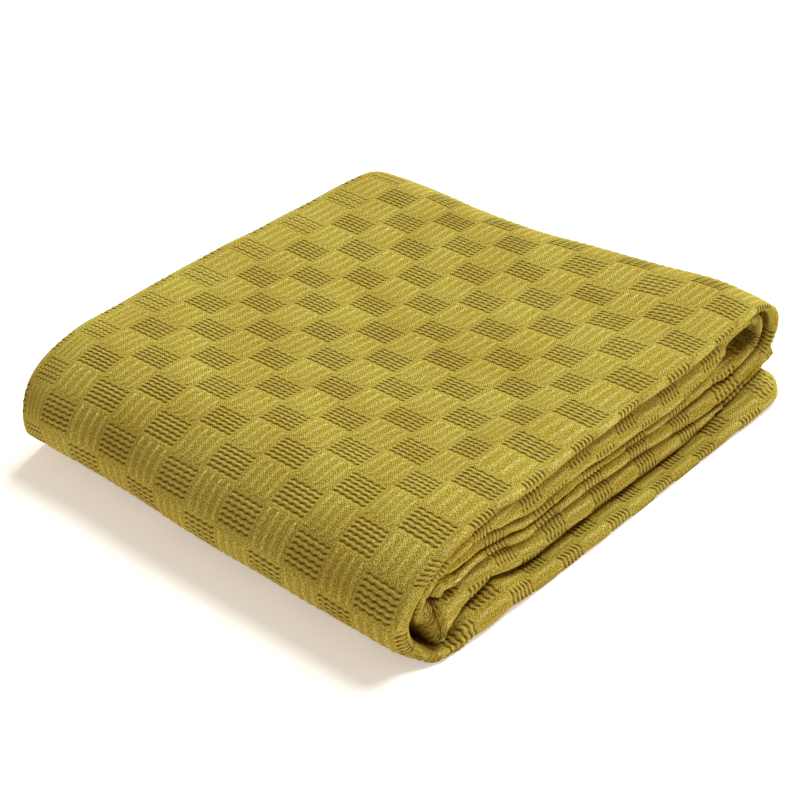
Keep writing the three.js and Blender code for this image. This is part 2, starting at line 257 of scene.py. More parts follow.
def left_side(ply, y):
    share = smooth((y - FRONT_Y) / (BACK_Y - FRONT_Y))
    inset = mix(LEFT_INSET_FRONT[ply], LEFT_INSET_BACK[ply], smooth((y - FRONT_Y) / INSET_BLEND))
    side_x = inset + CLOTH / 2 - LEFT_SIDE.at("out", y)
    return side_x, mix(LEFT_FRONT_Z[ply], LEFT_BACK_Z[ply], share)


def left_top(ply, t, y):
    side_x, side_z = left_side(ply, y)
    a = t * math.pi / 2
    top_z = ply_height("top", ply, np.full_like(y, TURN_LEFT_TOP), y)
    return mix(TURN_LEFT_TOP, side_x, np.cos(a)), mix(side_z, top_z, np.sin(a))


def left_low(ply, t, y):
    side_x, side_z = left_side(ply, y)
    a = t * math.pi / 2
    start = turn_left(y)
    low_z = ply_height("low", ply, start, y)
    share = smooth((y - FOOT_BACK_Y) / FOOT_BACK_BLEND)
    dent = bell(FOOT_CREASE, t) * mix(1, FOOT_BACK, share) if ply == 0 else 0
    inner_dent = DENT_SHARE[ply] * bell(INNER_DENT, t) * smooth(1 - (y - FRONT_Y) / DENT_REACH)
    x = mix(start, side_x, np.sin(a)) + dent * np.sin(a) + inner_dent
    return x, mix(side_z, low_z, np.cos(a)) + dent * np.cos(a)


def right_bend(ply, t, y):
    a = t * math.pi
    start = turn_right(y)
    side = start + RIGHT_TURN - RIGHT_INSET[ply] - CLOTH / 2
    high = ply_height("top", ply, start, y)
    low = ply_height("middle", ply, start, y)
    return mix(start, side, np.sin(a)), mix(low, high, (1 + np.cos(a)) / 2)


def tuck(ply, t, y):
    share = near_front(y)
    turn = mix(TUCK_BACK["turn"], TUCK_FRONT["turn"], share)
    radius = mix(TUCK_BACK["length"], TUCK_FRONT["length"], share) / turn
    start = tuck_start(y)
    outer = ply_height("middle", 0, start, y)
    inner = ply_height("middle", PLIES - 1, start, y)
    centre = (outer + inner) / 2
    reach = radius + ply_height("middle", ply, start, y) - centre
    return start - reach * np.sin(turn * t), centre - radius + reach * np.cos(turn * t)


def flat_part(run, from_x, to_x):
    """A flat stretch of a run, as a function of the ply, the share of its length and the depth."""

    def line(ply, t, y):
        x = mix(from_x(ply, y), to_x(ply, y), t)
        return x, ply_height(run, ply, x, y)

    return run, line


def fixed(x):
    return lambda ply, y: np.full_like(y, x)


def low_end(ply, y):
    return LOW_END.at("outer" if ply < PLIES // 2 else "inner", y)


# The parts of the blanket's length, from the free end of its low run to that of its middle run
PARTS = [
    flat_part("low", low_end, fixed(SHARED_RIGHT)),
    flat_part("low", fixed(SHARED_RIGHT), fixed(SHARED_LEFT)),
    flat_part("low", fixed(SHARED_LEFT), lambda ply, y: turn_left(y)),
    ("left_low", left_low),
    ("left_top", left_top),
    flat_part("top", fixed(TURN_LEFT_TOP), fixed(SHARED_LEFT)),
    flat_part("top", fixed(SHARED_LEFT), fixed(SHARED_RIGHT)),
    flat_part("top", fixed(SHARED_RIGHT), lambda ply, y: turn_right(y)),
    ("right", right_bend),
    flat_part("middle", lambda ply, y: turn_right(y), fixed(SHARED_RIGHT)),
    flat_part("middle", fixed(SHARED_RIGHT), fixed(SHARED_LEFT)),
    flat_part("middle", fixed(SHARED_LEFT), fixed(SHARED_END)),
    flat_part("middle", fixed(SHARED_END), lambda ply, y: tuck_start(y)),
    ("tuck", tuck),
]
TOP_PART = 6  # the part whose ends are SHARED_LEFT and SHARED_RIGHT on the top run


def front_tip(pair, part, t):
    """How far out the front roll of a pair of plies comes."""
    run, line = PARTS[part]
    outer = pair == 0
    front = np.full_like(t, FRONT_Y)
    x = line(2 * pair, t, front)[0]
    top_name, middle_name, low_name = ("T1", "M2", "B2") if outer else ("T2", "M1", "B1")
    if run == "low":
        return ROLL_TIP.at(low_name, x)
    if run == "top":
        return ROLL_TIP.at(top_name, x)
    foot = turn_left(front)
    turn = turn_right(front)
    left = ROLL_TIP.at(top_name, foot)
    if run == "left_low":
        low = mix(ROLL_TIP.at(low_name, foot), left, smooth(t / TIP_TURN))
        return low if outer else low + bell(INNER_CREASE, t)
    if run == "left_top":
        return mix(left, ROLL_TIP.at(top_name, np.full_like(t, TURN_LEFT_TOP)), t)
    if run == "right":
        return mix(ROLL_TIP.at(top_name, turn), ROLL_TIP.at(middle_name, turn), t)
    return ROLL_TIP.at(middle_name, x)


def droop_share(run, t):
    """Where between its two plies a front roll comes furthest out, from 0 at the outer ply."""
    if run == "top":
        return np.full_like(t, DROOP)
    if run == "left_low":
        return mix(1 - DROOP, 0.5, t)
    if run == "left_top":
        return mix(0.5, DROOP, t)
    if run == "right":
        return mix(DROOP, 1 - DROOP, t)
    return np.full_like(t, 1 - DROOP)


def ply_gap(a, b, part, t, y):
    """The distance between two plies, square to them."""
    line = PARTS[part][1]
    px, pz = line(a, t, y)
    qx, qz = line(b, t, y)
    before = line(a, t - NUDGE, y)
    after = line(a, t + NUDGE, y)
    run_x = after[0] - before[0]
    run_z = after[1] - before[1]
    return np.abs((qx - px) * run_z - (qz - pz) * run_x) / np.hypot(run_x, run_z)


# Across the blanket there are seven stretches: a ply, a roll, a ply, and so on
STRETCHES = 2 * PLIES - 1


def middle_surface(along, across):
    """Points of the cloth's middle surface. The whole number in along is the part and that in
    across the stretch; the fractions are the share of it."""
    points = np.zeros((len(along), 3))
    part_of = np.clip(along.astype(int), 0, len(PARTS) - 1)
    stretch_of = np.clip(across.astype(int), 0, STRETCHES - 1)
    for part, (run, line) in enumerate(PARTS):
        in_part = part_of == part
        if not in_part.any():
            continue
        for stretch in range(STRETCHES):
            here = np.nonzero(in_part & (stretch_of == stretch))[0]
            if not len(here):
                continue
            t = along[here] - part
            f = across[here] - stretch
            ply = stretch // 2
            if stretch % 2 == 0:
                points[here] = flat_points(ply, part, t, f)
            else:
                points[here] = roll_points(ply, run, part, t, f)
    return points


def edges_of(pair, part, t):
    """Where the front roll and the back roll begin, and how far each one bulges."""
    line = PARTS[part][1]
    tip = front_tip(pair, part, t)
    back = BACK_EDGE.at("y", line(1, t, np.zeros_like(t))[0])
    front_bulge = ROLL_DEPTH * ply_gap(2 * pair, 2 * pair + 1, part, t, tip) - ROLL_SHARPEN
    back_bulge = ROLL_DEPTH * ply_gap(1, 2, part, t, back) - ROLL_SHARPEN
    front_end = tip + CLOTH / 2 + front_bulge
    back_end = back - CLOTH / 2 - back_bulge
    return front_end, front_bulge, back_end, back_bulge, back


def flat_points(ply, part, t, f):
    front_end, _, back_end, _, back = edges_of(ply // 2, part, t)
    hem = ply in (0, PLIES - 1)
    share = f if ply % 2 == 0 else 1 - f
    y = mix(back if hem else back_end, front_end, share)
    x, z = PARTS[part][1](ply, t, y)
    return np.stack([x, y, z], axis=1)


def roll_points(ply, run, part, t, f):
    front_end, front_bulge, back_end, back_bulge, _ = edges_of(ply // 2, part, t)
    front = ply % 2 == 0
    end = front_end if front else back_end
    bulge = -front_bulge if front else back_bulge
    line = PARTS[part][1]
    px, pz = line(ply, t, end)
    qx, qz = line(ply + 1, t, end)
    a = f * math.pi
    tip_at = droop_share(run, t) if front else np.full_like(t, 0.5)
    lower = 1 - (1 - tip_at) * (1 + np.cos(a))
    w = np.where(a < math.pi / 2, tip_at * (1 - np.cos(a)), lower)
    return np.stack([mix(px, qx, w), end + bulge * np.sin(a), mix(pz, qz, w)], axis=1)


# The weave: a basket check whose ribbed blocks are closely grooved along Y and whose other blocks
# carry a few wide ridges along X. U and V are places on the flat cloth, V running towards -Y.
BLOCK_U = 23.53
BLOCK_V = 26.0
FIRST_U = -118.5  # middle of a block of the top face, on the left
FIRST_V = -151.5  # middle of the furthest row of blocks
GROOVES = 6
GROOVE_PITCH = 3.35
GROOVE_LENGTH = 24.4
GROOVE_DEPTH = 0.75
RIDGES = 4
RIDGE_PITCH = BLOCK_V / RIDGES
RIDGE_LENGTH = 22.8
RIDGE_WIDTH = 0.95
RIDGE_HEIGHT = 0.5
GROOVE_MARGIN = 0.6  # how far a groove's fading end reaches past its length
GROOVE_SIDE = 0.9  # width over which the grooves fade out at a block's sides
GROOVE_END = 1.6  # and at its ends
RIB_RISE = 0.2  # how far the ribs between the grooves stand up
RIDGE_END = 2.5  # length over which a ridge fades out
PILLOW = 0.35  # how far the middle of a ribbed block stands up
RIDGED_PILLOW = 0.5  # and of the others, as a share of that
SAG = 0.3  # unevenness of the cloth on top
SAG_U, SAG_V = 21.0, 27.0  # length of its long waves
SAG_BEND, SAG_BEND_V, SAG_SHIFT = 0.8, 47.0, 0.5  # how they wind and are shifted
FINE_SAG, FINE_U, FINE_V = 0.6, 9.5, 14.0  # share and length of its short waves
SAG_FADE = 6  # how fast it fades out before a roll
HEM_HOLD = 30.0  # stretch next to a hem in which the weave's pulls fade out

# Soft pulls of the weave: their place and reach along U and V, and their strength along U and V
PULLS = [
    (-190, 20, 90, 130, 7, -5),
    (-150, -140, 80, 70, 2, -6),
    (40, -30, 80, 110, -7, 5),
    (20, 70, 80, 40, 0, 4),
    (-60, 122, 110, 20, 1, -8),
    (100, 135, 40, 60, 11, 0),
]


def block_place(u, v):
    """The block's column and row, and the place from the block's middle."""
    column = np.round((u - FIRST_U) / BLOCK_U)
    row = np.round((v - FIRST_V) / BLOCK_V)
    return column, row, u - FIRST_U - column * BLOCK_U, v - FIRST_V - row * BLOCK_V


def ribbed(column, row):
    return (column + row) % 2 == 0


def relief(u, v):
    """Height of the cloth's face over its even level."""
    column, row, a, b = block_place(u, v)
    side = smooth((GROOVES * GROOVE_PITCH / 2 - np.abs(a)) / GROOVE_SIDE + 0.5)
    end = smooth((GROOVE_LENGTH / 2 - np.abs(b)) / GROOVE_END + 0.5)
    turns = a / GROOVE_PITCH - (GROOVES - 1) / 2
    groove = 0.5 + 0.5 * np.cos(2 * math.pi * turns)
    grooved = -GROOVE_DEPTH * groove * side * end + RIB_RISE * side * end
    from_ridge = (b / RIDGE_PITCH - 0.5 - np.round(b / RIDGE_PITCH - 0.5)) * RIDGE_PITCH
    ridge = np.exp(-((from_ridge / RIDGE_WIDTH) ** 2))
    ridge_end = smooth((RIDGE_LENGTH / 2 - np.abs(a)) / RIDGE_END + 0.5)
    ridged = RIDGE_HEIGHT * ridge * ridge_end
    pillow = PILLOW * np.cos(math.pi * a / BLOCK_U) * np.cos(math.pi * b / BLOCK_V)
    return np.where(ribbed(column, row), grooved + pillow, ridged + RIDGED_PILLOW * pillow)


class Cloth:
    """Finds the place in the folds of any place (U, V) on the flat cloth."""

    STEP = 2.0  # spacing of the lines on which lengths are measured
    LEAST_STEPS = 4
    LENGTH_SAMPLES, LENGTH_END = 9, 0.999
    LENGTH_ACROSS = 0.6  # place across at which the lengths of the parts are taken
    NORMAL_STEP = 0.004
    ROLL_SAMPLES = 32
    FLAT_SAMPLES = 48
    HEM_ZONE = 30.0  # stretch next to a hem that takes up what the hems' lines differ
    REST_ZONE = 200.0

    def __init__(self):
        self.along = self.lines_along()
        self.across = self.lines_across()
        grid = self.grid(self.along, self.across)
        self.measure_u(grid)
        self.measure_v(grid)

    def grid(self, along, across):
        s, q = np.meshgrid(along, across, indexing="ij")
        return middle_surface(s.ravel(), q.ravel()).reshape(len(along), len(across), 3)

    def lines_along(self):
        lines = [0.0]
        for part in range(len(PARTS)):
            samples = part + np.linspace(0, self.LENGTH_END, self.LENGTH_SAMPLES)
            ends = self.grid(samples, np.array([self.LENGTH_ACROSS]))
            length = np.linalg.norm(np.diff(ends[:, 0], axis=0), axis=1).sum()
            steps = max(self.LEAST_STEPS, int(math.ceil(length / self.STEP)))
            lines.extend(part + np.arange(1, steps + 1) / steps)
        return np.array(lines)

    def lines_across(self):
        lines = [0.0]
        for stretch in range(STRETCHES):
            steps = self.FLAT_SAMPLES if stretch % 2 == 0 else self.ROLL_SAMPLES
            lines.extend(stretch + np.arange(1, steps + 1) / steps)
        return np.array(lines)

    def measure_u(self, grid):
        """U along the outer ply, with 0 where the top run passes x = 0."""
        line = grid[:, self.FLAT_SAMPLES // 2]
        lengths = np.linalg.norm(np.diff(line, axis=0), axis=1)
        self.u = np.concatenate([[0], np.cumsum(lengths)])
        middle = TOP_PART + (0 - SHARED_LEFT) / (SHARED_RIGHT - SHARED_LEFT)
        self.u -= np.interp(middle, self.along, self.u)

    def measure_v(self, grid):
        """V on each line across, with 0 where the outer ply passes y = 0."""
        lengths = np.linalg.norm(np.diff(grid, axis=1), axis=2)
        self.v = np.concatenate([np.zeros((len(grid), 1)), np.cumsum(lengths, axis=1)], axis=1)
        first = slice(0, self.FLAT_SAMPLES + 1)
        for i in range(len(grid)):
            self.v[i] -= np.interp(0, -grid[i, first, 1], self.v[i, first])
        self.v_hem = float(np.median(self.v[:, 0]))
        self.v_last = float(np.median(self.v[:, -1]))
        first_roll = self.FLAT_SAMPLES + self.ROLL_SAMPLES // 2
        pitch = self.FLAT_SAMPLES + self.ROLL_SAMPLES
        self.tips = self.v[:, [first_roll + k * pitch for k in range(PLIES - 1)]]

    def fitted(self, v, line):
        """V on one line, so that both hems fall on the cloth's ends."""
        hem_turn = self.v_hem + self.HEM_ZONE
        rest_turn = self.v_last - self.REST_ZONE
        hem_scale = (hem_turn - line[0]) / self.HEM_ZONE
        rest_scale = (line[-1] - rest_turn) / self.REST_ZONE
        fitted = np.where(v < hem_turn, hem_turn - (hem_turn - v) * hem_scale, v)
        return np.where(v > rest_turn, rest_turn + (v - rest_turn) * rest_scale, fitted)

    def place(self, u, v):
        """The place along and across that has these U and V."""
        along = np.interp(u, self.u, self.along)
        across = np.zeros_like(along)
        line_of = np.clip(np.searchsorted(self.along, along, side="right") - 1, 0, len(self.along) - 2)
        order = np.argsort(line_of, kind="stable")
        starts = np.searchsorted(line_of[order], np.arange(len(self.along)))
        for i in range(len(self.along) - 1):
            here = order[starts[i]:starts[i + 1]]
            if not len(here):
                continue
            share = (along[here] - self.along[i]) / (self.along[i + 1] - self.along[i])
            low = np.interp(self.fitted(v[here], self.v[i]), self.v[i], self.across)
            high = np.interp(self.fitted(v[here], self.v[i + 1]), self.v[i + 1], self.across)
            across[here] = mix(low, high, share)
        return along, across

    def normals(self, along, across):
        step = self.NORMAL_STEP
        last_along = len(PARTS) - SHORT_OF_END
        last_across = STRETCHES - SHORT_OF_END
        s0 = np.clip(along - step, 0, last_along)
        s1 = np.clip(along + step, 0, last_along)
        q0 = np.clip(across - step, 0, last_across)
        q1 = np.clip(across + step, 0, last_across)
        run = middle_surface(s1, across) - middle_surface(s0, across)
        turn = middle_surface(along, q1) - middle_surface(along, q0)
        normal = np.cross(turn, run)
        return normal / np.linalg.norm(normal, axis=1)[:, None]


class Sheet:
    """A closed mesh of the cloth, made block by block, finer where it shows."""

    FACE, REVERSE = 0, 1  # the side that shows on top, and the other
    SHOWN_TURN = 13.0  # how far from the tip of a roll the cloth still shows
    ROLL_REACH = 2  # and how far it counts as the roll itself
    BESIDE = 1.0  # how far beside a block it is judged as well
    TOLERANCE = 0.1

    # Stretches of the blanket's length, in the numbers of its parts
    LEFT_BEND = (3, 5)
    RIGHT_BEND = (8, 9.2)
    TIGHT_BEND = (8, 9)
    TOP_SHOWN = (3.2, 8.9)
    CURL = 13

    # Steps of a block that hardly shows, and of one that does
    HIDDEN_U = {"flat": 2, "bend": 5, "shown roll": 4}
    HIDDEN_V = {"flat": 1, "near": 3, "roll": 8, "shown roll": 12}
    EDGE_U = {"flat": 4, "roll": 4, "bend": 6, "tight": 12}
    EDGE_V = {"flat": 4, "roll": 10}
    RIDGED_U = {"flat": 5, "roll": 4, "bend": 7, "tight": 14}
    RIDGED_V = 14
    RIBBED_V = 12
    STEPS_PER_GROOVE = 4
    ODD_STEP = 2.2  # step in a block that is cut short by a hem
    ODD_STEPS = 3
    END_STRIP = 2.0  # strip at a groove's end, in which it fades out
    MIDDLE_ROW = 5.0  # distance of the rows beside a ribbed block's middle
    RIDGE_MARGIN = 0.4  # how far the ridges' ends pass the outermost lines
    RIDGED_REACH = 11.9  # outermost row of a block with ridges on a roll
    RIDGE_STEP = 0.75  # step across a ridge, as a share of its width

    def __init__(self, cloth):
        self.cloth = cloth
        self.u, self.v, self.side, self.faces = [], [], [], []
        self.count = 0
        self.lines_u = self.block_lines(cloth.u[0], cloth.u[-1], FIRST_U, BLOCK_U)
        self.lines_v = self.block_lines(cloth.v_hem, cloth.v_last, FIRST_V, BLOCK_V)
        self.columns = len(self.lines_u) - 1
        self.rows = len(self.lines_v) - 1
        self.kinds, self.corners, self.edges = {}, {}, {}

    @staticmethod
    def block_lines(start, end, first, pitch):
        """The lines between blocks, with no strip under a third of a block at the ends."""
        low = math.ceil((start - first) / pitch - 0.5 + 1 / 3)
        high = math.floor((end - first) / pitch - 0.5 - 1 / 3)
        inner = [first + (k + 0.5) * pitch for k in range(low, high + 1)]
        return np.array([start, *inner, end])

    def add(self, u, v, side):
        u = np.atleast_1d(np.asarray(u, float))
        v = np.broadcast_to(np.asarray(v, float), u.shape)
        self.u.append(u)
        self.v.append(v)
        self.side.append(np.full(len(u), side))
        ids = np.arange(self.count, self.count + len(u))
        self.count += len(u)
        return ids

    def turn(self, side, ids):
        """Both sides are wound so that their faces look outwards."""
        ids = np.asarray(ids)
        self.faces.append(ids[:, ::-1] if side == self.FACE else ids)

    def kind(self, side, i, j):
        """How a block is made: its inner lines in U and V, the steps on its edges, and whether
        its lines follow the weave's relief."""
        key = (side, i, j)
        if key not in self.kinds:
            self.kinds[key] = self.choose(side, i, j)
        return self.kinds[key]

    def choose(self, side, i, j):
        u0, u1 = self.lines_u[i], self.lines_u[i + 1]
        v0, v1 = self.lines_v[j], self.lines_v[j + 1]
        whole = abs(u1 - u0 - BLOCK_U) < self.TOLERANCE and abs(v1 - v0 - BLOCK_V) < self.TOLERANCE
        here = (self.cloth.u >= u0 - self.BESIDE) & (self.cloth.u <= u1 + self.BESIDE)
        along = self.cloth.along[here]
        tips = self.cloth.tips[here]

        def near(roll, reach):
            return ((tips[:, roll] > v0 - reach) & (tips[:, roll] < v1 + reach)).any()

        def within(stretch):
            return ((along > stretch[0]) & (along < stretch[1])).any()

        bend = within(self.LEFT_BEND) or within(self.RIGHT_BEND) or along[-1] > self.CURL
        front_roll = near(0, self.SHOWN_TURN) or near(2, self.SHOWN_TURN)
        back_roll = near(1, self.SHOWN_TURN)
        rolled = any(near(roll, self.ROLL_REACH) for roll in range(PLIES - 1))
        outer = v1 < tips[:, 0].max() + self.SHOWN_TURN
        if side == self.FACE and (outer and within(self.TOP_SHOWN) or front_roll):
            column, row, _, _ = block_place((u0 + u1) / 2, (v0 + v1) / 2)
            tight = within(self.TIGHT_BEND) and outer
            place = "tight" if tight else "bend" if bend else "roll" if front_roll else "flat"
            return self.shown(u0, u1, v0, v1, whole, ribbed(column, row), front_roll, place)
        shows = side == self.REVERSE and back_roll
        on_roll = "shown roll" if shows else "roll"
        off_roll = "near" if front_roll or back_roll else "flat"
        steps_u = self.HIDDEN_U["bend" if bend else "shown roll" if shows else "flat"]
        return self.even(u0, u1, v0, v1, steps_u, self.HIDDEN_V[on_roll if rolled else off_roll])

    @staticmethod
    def even(u0, u1, v0, v1, steps_u, steps_v):
        inner_u = u0 + (u1 - u0) * np.arange(1, steps_u) / steps_u
        inner_v = v0 + (v1 - v0) * np.arange(1, steps_v) / steps_v
        return {"u": inner_u, "v": inner_v, "steps": (steps_u, steps_v), "fine": False}

    def shown(self, u0, u1, v0, v1, whole, ribs, rolled, place):
        if not whole:
            steps_u = int(round((u1 - u0) / self.ODD_STEP))
            steps_v = int(round((v1 - v0) / self.ODD_STEP))
            return self.even(u0, u1, v0, v1, max(self.ODD_STEPS, steps_u), max(self.ODD_STEPS, steps_v))
        inner_u, inner_v = self.ribbed_lines(rolled) if ribs else self.ridged_lines(rolled, place)
        steps = self.EDGE_U[place], self.EDGE_V["roll" if rolled else "flat"]
        return {"u": (u0 + u1) / 2 + inner_u, "v": (v0 + v1) / 2 + inner_v, "steps": steps, "fine": True}

    def ribbed_lines(self, rolled):
        """Lines of a ribbed block in U and V, counted from its middle."""
        reach = GROOVES * GROOVE_PITCH / 2
        span = GROOVE_LENGTH / 2 + GROOVE_MARGIN
        strip, row = self.END_STRIP, self.MIDDLE_ROW
        rows = [-span, strip - span, -row, 0.0, row, span - strip, span]
        inner_u = np.linspace(-reach, reach, self.STEPS_PER_GROOVE * GROOVES + 1)
        return inner_u, np.linspace(-span, span, self.RIBBED_V) if rolled else np.array(rows)

    def ridged_lines(self, rolled, place):
        """Lines of a block with ridges in U and V, counted from its middle."""
        span = RIDGE_LENGTH / 2 - self.RIDGE_MARGIN
        inner_u = np.linspace(-span, span, self.RIDGED_U[place])
        if rolled:
            return inner_u, np.linspace(-self.RIDGED_REACH, self.RIDGED_REACH, self.RIDGED_V)
        offsets = [k * RIDGE_WIDTH * self.RIDGE_STEP for k in (-2, -1, 0, 1, 2)]
        ridges = [(k - (RIDGES - 1) / 2) * RIDGE_PITCH for k in range(RIDGES)]
        return inner_u, np.array([r + o for r in ridges for o in offsets])

    def corner(self, side, i, j):
        key = (side, i, j)
        if key not in self.corners:
            self.corners[key] = self.add(self.lines_u[i], self.lines_v[j], side)[0]
        return self.corners[key]

    def edge(self, side, i, j, direction):
        """The points from one corner to the next in U or V, both corners included."""
        key = (side, i, j, direction)
        if key in self.edges:
            return self.edges[key]
        to_u, to_v = (1, 0) if direction == "u" else (0, 1)
        far = (i + to_u, j + to_v)
        beside = [(i, j), (i - to_v, j - to_u)]
        inside = [(a, b) for a, b in beside if 0 <= a < self.columns and 0 <= b < self.rows]
        steps = max(self.kind(side, a, b)["steps"][to_v] for a, b in inside)
        share = np.arange(1, steps) / steps
        u = mix(self.lines_u[i], self.lines_u[far[0]], share)
        v = mix(self.lines_v[j], self.lines_v[far[1]], share)
        ids = [self.corner(side, i, j), *self.add(u, v, side), self.corner(side, *far)]
        self.edges[key] = np.array(ids)
        return self.edges[key]

    def zip_strip(self, side, low, high, low_at, high_at):
        """Triangles between two rows of points that run the same way."""
        faces = []
        a = b = 0
        while a < len(low) - 1 or b < len(high) - 1:
            go_low = b == len(high) - 1 or (a < len(low) - 1 and low_at[a + 1] <= high_at[b + 1])
            if go_low:
                faces.append((low[a], low[a + 1], high[b]))
                a += 1
            else:
                faces.append((low[a], high[b + 1], high[b]))
                b += 1
        self.turn(side, faces)

    def block(self, side, i, j):
        kind = self.kind(side, i, j)
        bottom = self.edge(side, i, j, "u")
        top = self.edge(side, i, j + 1, "u")
        left = self.edge(side, i, j, "v")
        right = self.edge(side, i + 1, j, "v")
        steps_u, steps_v = kind["steps"]
        inner_u, inner_v = kind["u"], kind["v"]
        matched = len(bottom) == len(top) == steps_u + 1 and len(left) == len(right) == steps_v + 1
        grid_u, grid_v = np.meshgrid(inner_u, inner_v, indexing="ij")
        shape = grid_u.shape
        ids = self.add(grid_u.ravel(), grid_v.ravel(), side).reshape(shape)
        if matched and not kind["fine"]:
            full = np.zeros((steps_u + 1, steps_v + 1), int)
            full[:, 0], full[:, -1] = bottom, top
            full[0, :], full[-1, :] = left, right
            full[1:-1, 1:-1] = ids
            self.quads(side, full)
            return
        if min(shape) == 0:
            self.fan(side, i, j, bottom, right, top, left)
            return
        self.quads(side, ids)
        u0, u1 = self.lines_u[i], self.lines_u[i + 1]
        v0, v1 = self.lines_v[j], self.lines_v[j + 1]
        at_u = np.interp(inner_u, [inner_u[0] - SHORT_OF_END, inner_u[-1]], [u0, u1])
        at_v = np.interp(inner_v, [inner_v[0] - SHORT_OF_END, inner_v[-1]], [v0, v1])
        self.zip_strip(side, bottom, ids[:, 0], np.linspace(u0, u1, len(bottom)), at_u)
        self.zip_strip(side, ids[:, -1], top, at_u, np.linspace(u0, u1, len(top)))
        self.zip_strip(side, ids[0, :], left, at_v, np.linspace(v0, v1, len(left)))
        self.zip_strip(side, right, ids[-1, :], np.linspace(v0, v1, len(right)), at_v)

    def quads(self, side, ids):
        a, b = ids[:-1, :-1].ravel(), ids[1:, :-1].ravel()
        c, d = ids[1:, 1:].ravel(), ids[:-1, 1:].ravel()
        self.turn(side, np.stack([a, b, c], axis=1))
        self.turn(side, np.stack([a, c, d], axis=1))

    def fan(self, side, i, j, bottom, right, top, left):
        u = (self.lines_u[i] + self.lines_u[i + 1]) / 2
        v = (self.lines_v[j] + self.lines_v[j + 1]) / 2
        middle = self.add(u, v, side)[0]
        ring = [*bottom, *right[1:], *top[::-1][1:], *left[::-1][1:-1]]
        following = ring[1:] + ring[:1]
        self.turn(side, [(a, b, middle) for a, b in zip(ring, following)])

    def rim(self):
        """Joins the two sides along the hems and the ends."""
        for i in range(self.columns):
            self.join(i, 0, "u", False)
            self.join(i, self.rows, "u", True)
        for j in range(self.rows):
            self.join(0, j, "v", True)
            self.join(self.columns, j, "v", False)

    def join(self, i, j, direction, flip):
        face = self.edge(self.FACE, i, j, direction)
        reverse = self.edge(self.REVERSE, i, j, direction)
        start = len(self.faces)
        reverse_at = np.linspace(0, 1, len(reverse))
        self.zip_strip(self.FACE, reverse, face, reverse_at, np.linspace(0, 1, len(face)))
        if flip:
            self.faces[start:] = [faces[:, ::-1] for faces in self.faces[start:]]

    def build(self):
        for side in (self.FACE, self.REVERSE):
            for i in range(self.columns):
                for j in range(self.rows):
                    self.block(side, i, j)
        self.rim()
        return tuple(np.concatenate(rows) for rows in (self.u, self.v, self.side, self.faces))


def drift(u, v, axis):
    """How far the weave is pulled off its straight lines, along U or V."""
    total = np.zeros_like(u)
    for at_u, at_v, reach_u, reach_v, *pull in PULLS:
        total += pull[axis] * np.exp(-(((u - at_u) / reach_u) ** 2) - ((v - at_v) / reach_v) ** 2)
    return total


def held(place, start, end):
    """Nothing is pulled at the ends of the cloth."""
    return smooth(np.minimum(place - start, end - place) / HEM_HOLD)


def sag(u, v):
    """Soft unevenness of the cloth that lies on top."""
    waves = np.sin(u / SAG_U + SAG_BEND * np.sin(v / SAG_BEND_V)) * np.sin(v / SAG_V + SAG_SHIFT)
    return SAG * (waves + FINE_SAG * np.sin(u / FINE_U + v / FINE_V))


def blanket_points(cloth, u, v, side):
    pull_u = drift(u, v, 0) * held(u, cloth.u[0], cloth.u[-1])
    pull_v = drift(u, v, 1) * held(v, cloth.v_hem, cloth.v_last)
    along, across = cloth.place(u + pull_u, v + pull_v)
    along = np.clip(along, 0, len(PARTS) - SHORT_OF_END)
    across = np.clip(across, 0, STRETCHES - SHORT_OF_END)
    points = middle_surface(along, across)
    normals = cloth.normals(along, across)
    out = np.where(side == Sheet.FACE, 1.0, -1.0)
    height = np.where(side == Sheet.FACE, relief(u, v), 0)
    height += np.where(across < 1, out * sag(u, v) * smooth((1 - across) * SAG_FADE), 0)
    points = points + normals * (out * (CLOTH / 2) + height)[:, None]
    points[:, 2] = np.maximum(0, points[:, 2])
    return (points + OFFSET) / 1000


def mark_weave(mesh, u, v, side):
    """Gives each point its place in the weave, in blocks, for the material."""
    weave = mesh.attributes.new("weave", "FLOAT_VECTOR", "POINT")
    columns = (u - FIRST_U) / BLOCK_U + np.where(side == Sheet.FACE, 0, 1)
    place = np.stack([columns, (v - FIRST_V) / BLOCK_V, side], axis=1)
    weave.data.foreach_set("vector", place.astype(np.float32).ravel())


def blanket_mesh():
    cloth = Cloth()
    u, v, side, faces = Sheet(cloth).build()
    mesh = bpy.data.meshes.new("blanket_cloth")
    mesh.from_pydata(blanket_points(cloth, u, v, side).tolist(), [], faces.tolist())
    mesh.polygons.foreach_set("use_smooth", np.ones(len(mesh.polygons), bool))
    mark_weave(mesh, u, v, side)
    mesh.update()
    return mesh


